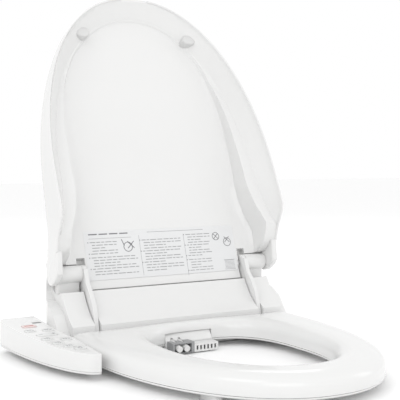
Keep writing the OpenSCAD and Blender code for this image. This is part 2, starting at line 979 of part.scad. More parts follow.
// Duct from the fan down to the outlet
module air_duct() {
    w = 2 * outlet_half;
    back = hy - body_front;
    low = base_bottom + body_wall + 0.4;
    color("gray") difference() {
        union() {
            translate([outlet_x - outlet_half, back, low]) cube([w, 26, outlet_top - low]);
            translate([outlet_x - 14, back + 16, low]) cube([28, 10, 32]);
        }
        translate([outlet_x - outlet_half + 2, back - 1, low + 2]) cube([w - 4, 25, outlet_top - low - 4]);
        translate([outlet_x - 12, back + 18, low + 2]) cube([24, 6, 28]);
        translate([outlet_x - 9, back + 20, low + 19]) cube([18, 20, 9]);
    }
}

// Drum round the fan wheel, open on one side
module fan_housing() {
    color("dimgray") translate(fan_at) difference() {
        rod_x(fan_r + 3, -14, 14);
        rod_x(fan_r, -11.5, 11.5);
        rod_x(12, 10, 20);
        rod_x(3, -20, 0);
        translate([-9, -60, -20]) cube([18, 50, 9]);
    }
}

// Wheel with blades along its rim
module fan_wheel() {
    color("black") translate(fan_at) difference() {
        union() {
            rod_x(fan_r - 1.5, -10, -8.5);
            rod_x(5, -10, 5);
            for (i = [0:23]) rotate([i * 15, 0, 0]) translate([-9, -0.6, fan_r - 7]) cube([18, 1.2, 5.2]);
            difference() {
                rod_x(fan_r - 1.5, 7.5, 9);
                rod_x(fan_r - 6, 7, 10);
            }
        }
        rod_x(2, -20, 20);
    }
}

// Motor on the closed side of the drum
module fan_motor() {
    color("silver") translate(fan_at) union() {
        rod_x(2 - pin_fit, -30, 3);
        rod_x(13, -38, -14 - seam);
    }
}

// ---------------------------------------------------------------- water

// Tank and element that warm the wash water
module water_heater() {
    color("lightsteelblue") translate([-139, -18, base_bottom + body_wall + 12])
        rounded_box([28, 58, 44], 6);
}

// Valve block behind the water inlet
module inlet_valve() {
    color("steelblue") translate([inlet_x, 0, 0]) union() {
        translate([-16, -12, 17]) cube([32, 33, 28]);
        translate([0, 4, 44]) cylinder(r = 12, h = 20);
    }
}

// Threaded end that the supply hose screws on to
module water_inlet() {
    color("silver") translate([inlet_x, 0, inlet_z]) difference() {
        union() {
            tube_y(inlet_neck, 21.5, back_y + 1);
            tube_y(inlet_neck + 2, 24, back_y - body_wall - seam);
            tube_y(inlet_r, back_y + seam, back_y + inlet_out);
        }
        tube_y(6, 20, 80);
    }
}

// Filter in a cup
module water_filter() {
    color("white") translate([164, -16, base_top]) cylinder(r = 12, h = 40);
}

// Plug that drains the tank
module drain_plug() {
    color("gray") translate([drain_x, 0, drain_z]) union() {
        tube_y(drain_r, back_y - 10, back_y);
        tube_y(drain_r - 3, back_y - 18, back_y - 10);
    }
}

// ---------------------------------------------------------------- electrics

// Board behind the fan, with the logic
module control_board() {
    color("seagreen") translate([-70, 24, 44]) cube([150, 1.6, 40]);
}

// Board with the transformer and the relay
module power_board() {
    color("darkgreen") translate([44, -62, 22]) union() {
        cube([1.6, 76, 44]);
        translate([1.2, 6, 6]) cube([18, 28, 24]);
        translate([1.2, 44, 12]) cube([14, 22, 18]);
    }
}

// Gland that the mains cord comes in through
module cord_gland() {
    color("dimgray") translate([gland_x, 0, gland_z]) difference() {
        union() {
            tube_y(gland_r, back_y - body_wall - 3, back_y + 3);
            tube_y(gland_r + 2, back_y - body_wall - 6, back_y - body_wall - seam);
        }
        tube_y(gland_r / 2, back_y - 20, back_y + 10);
    }
}

// Screws that join the two casings from below
module case_screws() {
    color("silver") for (p = screw_at) translate([p[0], p[1], base_bottom + 0.4]) union() {
        cylinder(r = 3.4, h = 2.6);
        cylinder(r = 1.8, h = 16);
    }
}

mounting_plate();
body_base();
body_cover();
body_feet();
release_button();
hinge_barrel_left();
hinge_barrel_right();
hinge_pin_left();
hinge_pin_right();
seat_damper();
lid_damper();
seat_shell();
seat_base();
seat_arm_left();
seat_arm_right();
seat_heater();
seat_buffers();
lid_shell();
lid_liner();
lid_buffers();
lid_label();
wing_base();
wing_cover();
wing_board();
wing_window();
button_stop();
button_wash();
button_front_wash();
button_pressure();
button_dry();
button_nozzle();
button_water_heat();
button_seat_heat();
button_power();
wash_cover();
nozzle_guard();
nozzle_cradle();
wash_nozzle();
front_nozzle();
wash_gear();
front_gear();
wash_motor();
front_motor();
air_outlet();
air_duct();
fan_housing();
fan_wheel();
fan_motor();
water_heater();
inlet_valve();
water_inlet();
water_filter();
drain_plug();
control_board();
power_board();
cord_gland();
case_screws();
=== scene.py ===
import math
import bmesh
import bpy
from mathutils import Matrix, Vector


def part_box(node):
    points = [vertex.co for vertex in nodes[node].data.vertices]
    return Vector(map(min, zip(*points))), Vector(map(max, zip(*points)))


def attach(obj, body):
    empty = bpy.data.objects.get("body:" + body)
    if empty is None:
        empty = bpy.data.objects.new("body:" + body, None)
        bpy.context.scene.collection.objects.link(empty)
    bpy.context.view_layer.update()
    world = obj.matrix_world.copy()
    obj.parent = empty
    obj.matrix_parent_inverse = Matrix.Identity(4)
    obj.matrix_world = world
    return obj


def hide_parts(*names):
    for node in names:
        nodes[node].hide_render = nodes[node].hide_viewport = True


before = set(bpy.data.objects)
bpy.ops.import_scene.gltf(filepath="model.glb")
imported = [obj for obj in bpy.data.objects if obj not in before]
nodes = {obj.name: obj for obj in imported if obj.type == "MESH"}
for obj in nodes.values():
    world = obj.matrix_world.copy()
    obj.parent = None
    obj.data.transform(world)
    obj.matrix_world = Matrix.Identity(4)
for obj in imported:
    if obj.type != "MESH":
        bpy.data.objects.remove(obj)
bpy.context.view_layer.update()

# ---------------------------------------------------------------- room
# The seat stands on a pale table in a bright white room, lit by one broad panel over the
# viewer's left shoulder, a weaker one from the right and a long strip behind the lid.

# The camera's place, direction and lens come from a fit to the photo's mirrored points.
EYE = Vector((-0.6457, -1.2374, 0.2815))
AIM = Vector((0.508, 0.860, -0.0478))
LENS = 79.53
SENSOR = 36
TABLE_Z = -0.0006  # just under the feet, so that no two faces lie on each other

bpy.ops.object.select_all(action="DESELECT")
bpy.ops.object.camera_add(location=EYE)
camera = bpy.context.object
camera.rotation_euler = AIM.to_track_quat("-Z", "Y").to_euler()
camera.data.lens = LENS
camera.data.sensor_width = SENSOR
camera.data.clip_start = 0.05
bpy.context.scene.camera = camera


def light(name, place, towards, size, power):
    """A white panel lamp, size in m and power in W."""
    bpy.ops.object.light_add(type="AREA", location=place)
    lamp = bpy.context.object
    lamp.name = name
    lamp.data.shape = "RECTANGLE"
    lamp.data.size, lamp.data.size_y = size
    lamp.data.energy = power
    lamp.data.color = (1, 1, 1)
    lamp.rotation_euler = (Vector(towards) - Vector(place)).to_track_quat("-Z", "Y").to_euler()


light("window_left", (-1.6, -1.0, 2.0), (0, -0.15, 0.15), (1.3, 1.1), 7)
light("window_right", (2.1, -1.1, 1.0), (0, -0.1, 0.2), (0.8, 1.2), 3)
light("fill_front", (-0.9, -2.4, 1.1), (0, 0, 0.35), (1.6, 1.2), 7)
light("strip_behind", (0.6, 1.5, 1.6), (0, -0.1, 0.1), (2.0, 0.5), 6)

world = bpy.data.worlds.new("white_room")
world.use_nodes = True
background = world.node_tree.nodes["Background"]
background.inputs["Color"].default_value = (1, 1, 1, 1)
background.inputs["Strength"].default_value = 1.0
bpy.context.scene.world = world
bpy.context.scene.view_settings.view_transform = "Standard"

bpy.ops.object.select_all(action="DESELECT")
bpy.ops.mesh.primitive_plane_add(size=16, location=(0, 0, TABLE_Z))
table = bpy.context.object
table.name = "table_top"
table_paint = bpy.data.materials.new("table_paint")
table_paint.use_nodes = True
table_shader = table_paint.node_tree.nodes["Principled BSDF"]
table_shader.inputs["Base Color"].default_value = (0.97, 0.97, 0.97, 1)
table_shader.inputs["Roughness"].default_value = 0.9
table.data.materials.append(table_paint)

# ---------------------------------------------------------------- tools
# Finishes, lofts, cuts and rounded edges that the sections below share. Lengths are in mm
# until a mesh is made.

class Wire:
    """One output of a finish's nodes; sums on it add the Math nodes that they need."""

    def __init__(self, finish, socket):
        self.finish = finish
        self.socket = socket

    def _sum(self, operation, a, b):
        return self.finish.node("ShaderNodeMath", {"operation": operation}, {0: a, 1: b})

    def __add__(self, other):
        return self._sum("ADD", self, other)

    __radd__ = __add__

    def __mul__(self, other):
        return self._sum("MULTIPLY", self, other)

    __rmul__ = __mul__


class Finish:
    """A material, its shader and one method that adds any other node."""

    def __init__(self, name, colour, roughness, **constants):
        self.material = bpy.data.materials.new(name)
        self.material.use_nodes = True
        self.tree = self.material.node_tree
        self.shader = self.tree.nodes["Principled BSDF"]
        self.shader.inputs["Base Color"].default_value = (*colour, 1)
        self.shader.inputs["Roughness"].default_value = roughness
        for key, value in constants.items():
            self.shader.inputs[key.replace("_", " ")].default_value = value
        self.place = self.node("ShaderNodeTexCoord", out="Object")

    def node(self, kind, settings=None, sockets=None, out=0):
        made = self.tree.nodes.new(kind)
        for key, value in (settings or {}).items():
            if key == "stops":
                ramp = made.color_ramp.elements
                while len(ramp) > 1:
                    ramp.remove(ramp[-1])
                ramp[0].position, ramp[0].color = value[0][0], (*value[0][1], 1)
                for at, colour in value[1:]:
                    ramp.new(at).color = (*colour, 1)
            else:
                setattr(made, key, value)
        for key, value in (sockets or {}).items():
            if isinstance(value, Wire):
                self.tree.links.new(value.socket, made.inputs[key])
            else:
                made.inputs[key].default_value = value
        return Wire(self, made.outputs[out])

    def feed(self, socket, wire):
        self.tree.links.new(wire.socket, self.shader.inputs[socket])

    def noise(self, scale, detail=3.0, stretch=None):
        place = self.place
        if stretch:
            place = self.node("ShaderNodeMapping", {}, {"Vector": self.place, "Scale": stretch})
        return self.node("ShaderNodeTexNoise", {}, {
            "Vector": place, "Scale": scale, "Detail": detail})

    def bump(self, height, strength, distance):
        self.feed("Normal", self.node("ShaderNodeBump", {}, {
            "Height": height, "Strength": strength, "Distance": distance}))

    def tint(self, mask, low, high):
        self.feed("Base Color", self.node("ShaderNodeMix", {"data_type": "RGBA"}, {
            "Factor": mask, "A": (*low, 1), "B": (*high, 1)}, out=2))


def moulded(name, colour, roughness, waviness=0.06, grain=0.0, **constants):
    """Moulded plastic: faint flow marks in its gloss, a soft waviness and a little grain."""
    finish = Finish(name, colour, roughness, **constants)
    flow = finish.noise(9.0, 4.0)
    wear = finish.noise(140.0, 2.0)
    finish.feed("Roughness", roughness - 0.035 + flow * 0.05 + wear * 0.02)
    finish.tint(flow, [c * 0.985 for c in colour], [min(1, c * 1.01) for c in colour])
    height = finish.noise(24.0, 1.0) * waviness
    if grain:
        height = height + finish.noise(1500.0, 2.0) * grain
    finish.bump(height, 0.25, 0.002)
    return finish.material


def loft(name, outlines, wrap=False):
    """A circle is laid on the first outline and its edge is extruded onto each next one.

    Every vertex keeps its number in the circle, so that each outline's points find it. A
    wrapped loft ends on its first outline; any other gets its two ends filled.
    """
    bpy.ops.object.select_all(action="DESELECT")
    bpy.ops.mesh.primitive_circle_add(vertices=len(outlines[0]), radius=0.1)
    piece = bpy.context.object
    piece.name = name
    bpy.ops.object.mode_set(mode="EDIT")
    mesh = bmesh.from_edit_mesh(piece.data)
    order = mesh.verts.layers.int.new("order")
    for i, vertex in enumerate(mesh.verts):
        vertex[order] = i
    for i, outline in enumerate([*outlines, outlines[0]] if wrap else outlines):
        if i:
            bpy.ops.mesh.extrude_region_move()
        mesh = bmesh.from_edit_mesh(piece.data)
        order = mesh.verts.layers.int["order"]
        for vertex in mesh.verts:
            if vertex.select:
                vertex.co = Vector(outline[vertex[order]]) * 0.001
        bmesh.update_edit_mesh(piece.data)
    bpy.ops.mesh.select_all(action="SELECT")
    bpy.ops.mesh.remove_doubles(threshold=0.000002)
    bpy.ops.mesh.select_all(action="DESELECT")
    bpy.ops.mesh.select_non_manifold()
    bpy.ops.mesh.fill_holes(sides=0)
    bpy.ops.mesh.select_all(action="SELECT")
    bpy.ops.mesh.normals_make_consistent(inside=False)
    bpy.ops.object.mode_set(mode="OBJECT")
    return piece


def finish_piece(piece, body, material, *replaced, angle=35, slot="white_gloss"):
    """Smooths a piece, gives it its finish and hangs it on its body in place of CAD solids."""
    bpy.ops.object.select_all(action="DESELECT")
    piece.select_set(True)
    bpy.context.view_layer.objects.active = piece
    bpy.ops.object.transform_apply(location=True, rotation=True, scale=True)
    bpy.ops.object.shade_smooth_by_angle(angle=math.radians(angle))
    piece.data.materials.clear()
    piece.data.materials.append(material)
    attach(piece, body)
    if replaced:
        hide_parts(*replaced)
    return piece


def cut(piece, cutter):
    """Takes a cutter's shape out of a piece and throws the cutter away."""
    bpy.ops.object.select_all(action="DESELECT")
    piece.select_set(True)
    bpy.context.view_layer.objects.active = piece
    boolean = piece.modifiers.new("cut", "BOOLEAN")
    boolean.object = cutter
    boolean.operation = "DIFFERENCE"
    boolean.solver = "EXACT"
    bpy.ops.object.modifier_apply(modifier="cut")
    bpy.data.objects.remove(cutter, do_unlink=True)
    if len(piece.data.polygons) < 6:
        raise RuntimeError("nothing is left of " + piece.name)


def block(low, high):
    """A box between two corners, in mm, that only cuts or joins."""
    low, high = Vector(low) * 0.001, Vector(high) * 0.001
    bpy.ops.object.select_all(action="DESELECT")
    bpy.ops.mesh.primitive_cube_add(size=1, location=(low + high) / 2)
    box = bpy.context.object
    box.scale = high - low
    bpy.ops.object.transform_apply(location=True, rotation=False, scale=True)
    return box


def rod(radius, a, b):
    """A round bar on the X axis from a to b, in mm."""
    bpy.ops.object.select_all(action="DESELECT")
    bpy.ops.mesh.primitive_cylinder_add(
        vertices=96, radius=radius / 1000, depth=(b - a) / 1000,
        location=((a + b) / 2000, 0, 0), rotation=(0, math.pi / 2, 0))
    bar = bpy.context.object
    bpy.ops.object.transform_apply(location=True, rotation=True, scale=True)
    return bar


PLAN_WIDEST = 125.0  # the plan of seat and lid is straight behind this and oval before it
PLAN_POWER = 2.15  # power of the superellipse that makes the oval front
SIDE_STEPS, FRONT_STEPS, REAR_STEPS = 14, 104, 40


def oval(half, reach, back):
    """Plan of the seat and of the lid: straight sides, an oval front and a straight back."""
    points = []
    for i in range(SIDE_STEPS):
        points.append((half, -back - (PLAN_WIDEST - back) * i / SIDE_STEPS))
    for i in range(FRONT_STEPS + 1):
        t = math.pi * i / FRONT_STEPS
        c, s = math.cos(t), math.sin(t)
        points.append((half * math.copysign(abs(c) ** (2 / PLAN_POWER), c),
                       -PLAN_WIDEST - (reach - PLAN_WIDEST) * abs(s) ** (2 / PLAN_POWER)))
    for i in range(1, SIDE_STEPS + 1):
        points.append((-half, -PLAN_WIDEST + (PLAN_WIDEST - back) * i / SIDE_STEPS))
    for i in range(1, REAR_STEPS):
        points.append((-half + 2 * half * i / REAR_STEPS, -back))
    return points


def along(value, table):
    """Reads a value off a short table of (place, value) pairs, straight between them."""
    if value <= table[0][0]:
        return table[0][1]
    for (a, p), (b, q) in zip(table, table[1:]):
        if value <= b:
            return p + (q - p) * (value - a) / (b - a)
    return table[-1][1]


def slab(name, outline, a, b):
    """An outline seen from the side, in mm, made solid from x = a to x = b."""
    return loft(name, [[(x, y, z) for y, z in outline] for x in (a, b)])


def round_edges(piece, width, segments=3, angle=30):
    """Rounds a piece's sharp edges, width in mm."""
    bpy.ops.object.select_all(action="DESELECT")
    piece.select_set(True)
    bpy.context.view_layer.objects.active = piece
    bevel = piece.modifiers.new("round", "BEVEL")
    bevel.width = width / 1000
    bevel.segments = segments
    bevel.limit_method = "ANGLE"
    bevel.angle_limit = math.radians(angle)
    bpy.ops.object.modifier_apply(modifier="round")


def softened(name, node, width, body, material, slot="white_gloss", segments=3, angle=30):
    """A moulding with the CAD solid's own shape, its sharp edges rounded off."""
    bpy.ops.object.select_all(action="DESELECT")
    piece = nodes[node].copy()
    piece.data = nodes[node].data.copy()
    piece.name = name
    bpy.context.scene.collection.objects.link(piece)
    piece.parent = None
    piece.matrix_world = Matrix()
    piece.hide_render = False
    piece.select_set(True)
    bpy.context.view_layer.objects.active = piece
    bpy.ops.object.mode_set(mode="EDIT")
    bpy.ops.mesh.select_all(action="SELECT")
    bpy.ops.mesh.remove_doubles(threshold=0.00001)
    bpy.ops.mesh.dissolve_limited(angle_limit=math.radians(0.6))
    bpy.ops.object.mode_set(mode="OBJECT")
    round_edges(piece, width, segments, angle)
    return finish_piece(piece, body, material, node, angle=40, slot=slot)


# ---------------------------------------------------------------- lid
# The lid is one white moulding: a domed back, a side wall that curls into a thin rim, a
# sloped band inside the rim, a narrow ledge and a deep dished panel. Two lobes at the back
# of the side walls turn on the steel pins. It is drawn shut and turned open.

HINGE = Vector((0, -0.040, 0.112))
OPEN = math.radians(-115)
LID_HALF = 190.2
LID_REACH = 433.6
RIM = -84.0  # lowest z of the rim, lid shut and hinge at 0
RIM_WIDTH = 3.6
BACK = -6.5  # the back edge lies this far behind the hinge
TOP_AT_HINGE = 16.6
TOP_RISE, TOP_RUN = 71.4, 434  # slope of the closed lid's top
PANEL_RISE, PANEL_RUN = 61.5, 452  # slope of the panel inside it
DOME_MIDDLE = -150

gloss_white = moulded("gloss_white", (0.76, 0.76, 0.755), 0.2,
                      Coat_Weight=0.35, Coat_Roughness=0.06)


def lid_edge(y):
    """Lower edge of the closed lid's side wall."""
    return along(y, [(-70, RIM), (-66, -83), (-60, -79), (-54, -73.5), (-43, -59.5),
                     (-29, -47.5), (-18, -40), (-14, -20), (-10, -1.4), (8, -1.4)])


def lid_back_z(y):
    """Top of the closed lid."""
    return TOP_AT_HINGE + min(0, y) * TOP_RISE / TOP_RUN


def panel_z(y):
    """The inner panel of the closed lid."""
    return 0.5 - (18 - y) * PANEL_RISE / PANEL_RUN


def lid_plan(inset, most=13):
    """The lid's outline moved in; its back edge moves in less, and stops at an inset of most."""
    return oval(LID_HALF - inset, LID_REACH - inset, BACK + min(inset, most) * 0.4)


lid_rings = []


def lid_ring(inset, height):
    """One outline of the lid; height gives z at each point of it."""
    lid_rings.append([(x, y, height(x, y)) for x, y in lid_plan(inset)])


def dome_ring(turn):
    """The lid's back rolls over to its side wall: turn 0 is its top, a quarter turn the wall."""
    ring = []
    for i, (_, y) in enumerate(oval(LID_HALF, LID_REACH, BACK)):
        wide = along(-y, [(10, 13), (60, 54), (300, 54), (434, 38)])
        high = along(-y, [(10, 12), (60, 32), (300, 31), (434, 21)])
        inset = wide * (1 - math.sin(turn))
        x2, y2 = lid_plan(inset)[i]
        ring.append((x2, y2, lid_back_z(y2) - crown_fall(y2) - high * (1 - math.cos(turn))))
    return ring


def crown_fall(y):
    """How far the lid's top falls below its slope, away from the hinge."""
    return 3.0 * min(1.0, max(0.0, -y) / 100)


def top_ring(scale):
    """An outline on the lid's top, shrunk towards the middle of it."""
    ring = []
    for x, y, _ in dome_ring(0):
        y2 = DOME_MIDDLE + (y - DOME_MIDDLE) * scale
        ring.append((x * scale, y2, lid_back_z(y2) - crown_fall(y) * scale ** 4))
    lid_rings.append(ring)


for s in (0.03, 0.25, 0.5, 0.7, 0.85, 0.94):
    top_ring(s)
for i in range(9):
    lid_rings.append(dome_ring(math.radians(90 * i / 8)))
lid_ring(0, lambda x, y: lid_edge(y) + min(3.0, 0.2 * (lid_back_z(y) - lid_edge(y))))
for inset, rise in ((0.15, 1.1), (0.7, 0.3), (1.7, 0.0), (2.7, 0.3), (3.3, 1.1), (RIM_WIDTH, 3.0)):
    lid_ring(inset, lambda x, y, rise=rise: lid_edge(y) + rise)


def band_depth(y):
    """How far the sloped band inside the rim goes down."""
    return along(-y, [(60, 27), (100, 28), (300, 33), (434, 20)])


def ledge_width(y):
    """Width of the ledge at the foot of the band."""
    return along(-y, [(60, 17), (100, 20), (200, 16), (300, 7), (360, 2.5), (434, 2)])


def band_inset(y):
    """How far in from the side wall the foot of the band lies."""
    return along(-y, [(40, 6), (70, 16), (120, 22), (300, 24), (434, 26)])


def lid_inner(part, height):
    """Outline of the inside at part 0 (rim), 1 (foot of the band), 2 (ledge) or 3 (panel)."""
    ring = []
    for i, (_, y) in enumerate(oval(LID_HALF, LID_REACH, BACK)):
        foot = band_inset(y)
        ledge = foot + ledge_width(y)
        insets = (RIM_WIDTH, foot, ledge, ledge + 3)
        inset = insets[int(part)]
        if part % 1:
            inset += (insets[int(part) + 1] - inset) * (part % 1)
        x2, y2 = lid_plan(inset, 30)[i]
        ring.append((x2, y2, height(x2, y2)))
    lid_rings.append(ring)


def ledge_z(x, y):
    """Height of the ledge, never under the rim nor over the panel."""
    return min(max(RIM + band_depth(y), lid_edge(y) + 3), panel_z(y))


for part in (0.2, 0.45, 0.7, 0.9):
    lid_inner(part, lambda x, y, p=part:
              lid_edge(y) + 3 + (ledge_z(x, y) - lid_edge(y) - 3) * p ** 0.85)
lid_inner(1.0, ledge_z)
lid_inner(1.25, lambda x, y: ledge_z(x, y) + 0.6)
lid_inner(1.9, lambda x, y: ledge_z(x, y) + 1.0)
lid_inner(2.0, lambda x, y: ledge_z(x, y) + 1.4 if ledge_z(x, y) < panel_z(y) - 3 else panel_z(y))
for part, rise in ((2.3, 0.35), (2.6, 0.65), (3.0, 0.86)):
    lid_inner(part, lambda x, y, r=rise: ledge_z(x, y) + (panel_z(y) - ledge_z(x, y)) * r)


PANEL_EDGE = len(lid_rings) - 1
PANEL_MIDDLE = -170
DISH = 7.0  # the panel is this much deeper in its middle


def panel_ring(scale):
    """An outline on the dished panel, shrunk from the panel's edge towards its middle."""
    ring = []
    for x, y, z in lid_rings[PANEL_EDGE]:
        x2, y2 = x * scale, PANEL_MIDDLE + (y - PANEL_MIDDLE) * scale
        room = lid_back_z(y2) - panel_z(y2)
        dish = min(DISH, 0.42 * room) * min(1.0, max(0.0, (-y2 - 66) / 90))
        flat = panel_z(y2) + dish * (1 - scale ** 2) ** 0.8
        edge = z - panel_z(y)
        ring.append((x2, y2, flat + edge * max(0, (scale - 0.82) / 0.18) ** 2.2))
    lid_rings.append(ring)


for s in (0.985, 0.96, 0.93, 0.89, 0.84, 0.77, 0.68, 0.55, 0.4, 0.2, 0.03):
    panel_ring(s)

lid = loft("lid", lid_rings)

# pockets for the seat's arms and for the barrels, seen from the side
ARM_POCKET = [(-22, -60), (-22, 7), (-8, 9.6), (0, 12.8), (40, 12.8), (40, -60)]
BARREL_POCKET = [(-13.4, -60), (-13.4, 0), (-11.6, 6.7), (-6.7, 11.6),
                 (0, 12.8), (40, 12.8), (40, -60)]
for side in (-1, 1):
    cut(lid, slab("pocket", ARM_POCKET, *sorted((side * 133.0, side * 146.7))))
    cut(lid, slab("pocket", BARREL_POCKET, *sorted((side * 146.5, side * 179.8))))

# tail that turns in the body's trough, and the two lobes
TAIL_HALF = 132.4
tail = rod(25.8, -TAIL_HALF, TAIL_HALF)
cut(tail, block((-200, -40, -40), (200, 40, 0.3)))
cut(tail, block((-200, -40, -40), (200, -8, 40)))
cut(tail, block((-200, -40, TOP_AT_HINGE), (200, 40, 40)))
round_edges(tail, 1.5)
LOBE = [(-24, 0), (-24, -40), (-15, -38.6), (-5, -34.2), (3, -32.2), (8.4, -29.8), (12.8, -22.8),
        (15.6, -13), (16.1, -3), (14.2, 5), (9, 10), (0, 11.5), (-10, 9)]
lobes = []
for side in (-1, 1):
    lobe = slab("lobe", LOBE, *sorted((side * 180.2, side * 190.1)))
    round_edges(lobe, 2.2, 4, 40)
    lobes.append(lobe)
# finger notch at the tip
cut(lid, block((-24, -440, -86), (24, -425, -80.5)))

bpy.ops.object.select_all(action="DESELECT")
for part in (*lobes, tail, lid):
    part.select_set(True)
bpy.context.view_layer.objects.active = lid
bpy.ops.object.join()
turn_open = Matrix.Translation(HINGE) @ Matrix.Rotation(OPEN, 4, "X")
lid.data.transform(turn_open)
finish_piece(lid, "lid", gloss_white, "lid_shell", "lid_liner", angle=32)

# ---------------------------------------------------------------- lid pads
# Two soft white pads near the lid's tip keep it off the seat ring. Each is an oval plug with
# a rounded face, pressed into the panel.

soft_white = moulded("soft_white", (0.66, 0.66, 0.655), 0.5, grain=0.2)


PAD_X, PAD_Y = 96, -372
PAD_WIDE, PAD_LONG = 12.5, 9.0
PAD_FACE = -70.3
PAD_STEPS = 40


def pad_ring(side, scale, z):
    turns = (2 * math.pi * i / PAD_STEPS for i in range(PAD_STEPS))
    return [(side * PAD_X + PAD_WIDE * scale * math.cos(t), PAD_Y + PAD_LONG * scale * math.sin(t), z)
            for t in turns]


pads = []
for side in (-1, 1):
    steps = [(1.0, panel_z(PAD_Y) + 1.5), (1.0, PAD_FACE + 4), (0.96, PAD_FACE + 2),
             (0.86, PAD_FACE + 0.7), (0.7, PAD_FACE + 0.1), (0.4, PAD_FACE)]
    pads.append(loft("pad", [pad_ring(side, k, z) for k, z in steps]))
bpy.ops.object.select_all(action="DESELECT")
for pad in pads:
    pad.select_set(True)
bpy.ops.object.join()
pads = bpy.context.object
pads.name = "lid_pads"
pads.data.transform(turn_open)
finish_piece(pads, "lid", soft_white, "lid_buffers", slot="white_rubber")

# ---------------------------------------------------------------- care label
# A film label along the back edge of the lid's panel. It is printed in pale grey with three
# columns of lines, crossed-out pictures and a plain code strip; none of it is lettering.

label_film = moulded("label_film", (0.74, 0.745, 0.75), 0.32, waviness=0.02, grain=0.05)
print_grey = moulded("print_grey", (0.17, 0.17, 0.18), 0.5, waviness=0.0)
print_pale = moulded("print_pale", (0.32, 0.32, 0.33), 0.5, waviness=0.0)
LABEL_LOW, LABEL_HIGH = (-130.5, -60.5), (130.5, 12.5)
PANEL_TILT = math.atan(PANEL_RISE / PANEL_RUN)


PRINT_THICK = 0.12


def prints(name, marks, surface, tilt):
    """Printed marks as one thin mesh: each is x, y, length, width and turn, in mm and degrees."""
    shape = bmesh.new()
    for x, y, length, width, turn in marks:
        at = Matrix.Translation(Vector((x, y, surface(y))) / 1000)
        turned = Matrix.Rotation(tilt, 4, "X") @ Matrix.Rotation(math.radians(turn), 4, "Z")
        sized = Matrix.Diagonal((length, width, PRINT_THICK, 1))
        bmesh.ops.create_cube(shape, size=0.001, matrix=at @ turned @ sized)
    mesh = bpy.data.meshes.new(name)
    shape.to_mesh(mesh)
    shape.free()
    piece = bpy.data.objects.new(name, mesh)
    bpy.context.scene.collection.objects.link(piece)
    return piece


def circle_marks(x, y, radius, width, parts=14):
    """A printed ring, made of short bars."""
    chord = 2 * radius * math.tan(math.pi / parts) + width * 0.3
    return [(x + radius * math.cos(a), y + radius * math.sin(a), chord, width, math.degrees(a) + 90)
            for a in (2 * math.pi * i / parts for i in range(parts))]


def cross_marks(x, y, size, width):
    """A printed cross, turned to stand on its corners."""
    return [(x, y, size, width, 45), (x, y, size, width, -45)]


def text_lines(x0, x1, y0, rows, pitch, width, seed):
    """Rows of word-long bars between two margins, the last of each third row cut short."""
    bars = []
    step = seed
    for row in range(rows):
        x = x0 + (0 if row % 4 == 0 else 3)
        stop = x1 if row % 3 < 2 else x0 + (x1 - x0) * 0.6
        while x < stop - 3:
            step = (step * 37 + 11) % 101
            word = min(4 + step % 9, stop - x)
            bars.append((x + word / 2, y0 + row * pitch, word, width, 0))
            x += word + 1.8
        if row % 4 == 0:
            bars.append((x0 - 3, y0 + row * pitch, 1.6, 1.6, 0))
    return bars


(x0, y0), (x1, y1) = LABEL_LOW, LABEL_HIGH
corners = ((x0, y0), (x1, y0), (x1, y1), (x0, y1))
label = loft("care_label", [[(x, y, panel_z(y) - h) for x, y in corners] for h in (-0.1, 0.3)])
label.data.transform(turn_open)
finish_piece(label, "lid", label_film, "lid_label", slot="label_film")
# headings and crossed pictures, then the columns of lines, the rules and the code strip
dark = [(-116 + i * 17, -56, 14, 1.7, 0) for i in range(4)]
dark += cross_marks(-55, -38, 15, 1.2) + circle_marks(-60, -35, 7, 1.0) + [(-68, -42, 11, 1.2, 70)]
dark += cross_marks(97, -44, 13, 1.0) + circle_marks(97, -44, 6.0, 0.9)
dark += cross_marks(117, -38, 13, 1.0) + circle_marks(117, -34, 6.5, 0.9)
pale = text_lines(-122, -78, -44, 5, 4.3, 1.1, 5) + text_lines(-122, -46, -21, 7, 4.2, 1.1, 8)
pale += text_lines(-36, 32, -44, 12, 4.3, 1.1, 3) + text_lines(42, 86, -49, 9, 4.2, 1.1, 9)
pale += text_lines(42, 84, -9, 5, 4.2, 1.0, 4)
pale += [(25, -56, 100, 0.6, 0), (-40, -21, 0.5, 62, 0), (38, -18, 0.5, 66, 0),
         (-88, -49.5, 70, 0.5, 0)]
pale += [(116, 3 + i, 18, 0.5, 0) for i in range(-7, 7, 2)]
pale += [(116, -5, 20, 0.6, 0), (116, 10, 20, 0.6, 0)]
for name, bars, ink in (("label_print_dark", dark, print_grey),
                        ("label_print_pale", pale, print_pale)):
    printed = prints(name, bars, lambda y: panel_z(y) - 0.33, PANEL_TILT)
    printed.data.transform(turn_open)
    finish_piece(printed, "lid", ink, slot="label_film")

# ---------------------------------------------------------------- seat ring
# The ring is a white shell welded to a flat base plate, with a fine groove where they meet.
# Its top is crowned and rolls down into the hole; an arch under its back clears the washing
# unit. It is warmed from inside and stands on soft buffers.

SEAT_HALF = 183.3
SEAT_REACH = 426.9
SEAT_TOP = 40.5
SEAT_BACK = 60.5
HINGE_Y = -40  # the ring's outlines are drawn from the hinge
HOLE_MIDDLE, HOLE_FRONT, HOLE_BACK, HOLE_HALF = 208.0, 362.0, 82.0, 104.0
HOLE_POWER = 2.25


def seat_hole(grow):
    """Plan of the hole in the ring, point for point with the outline of the ring."""
    points = []
    for x, y in oval(SEAT_HALF, SEAT_REACH, SEAT_BACK):
        a = math.atan2(-(y + HOLE_MIDDLE) / (1.25 if y < -HOLE_MIDDLE else 1.0), x)
        c, s = math.cos(a), math.sin(a)
        if s >= 0:
            reach, n = HOLE_FRONT - HOLE_MIDDLE + grow, HOLE_POWER
        else:
            reach, n = HOLE_MIDDLE - HOLE_BACK + grow, HOLE_POWER + 0.9
        w = HOLE_HALF + grow
        r = (abs(c) ** n / w ** n + abs(s) ** n / reach ** n) ** (-1 / n)
        points.append((r * c, -HOLE_MIDDLE - r * s))
    return points


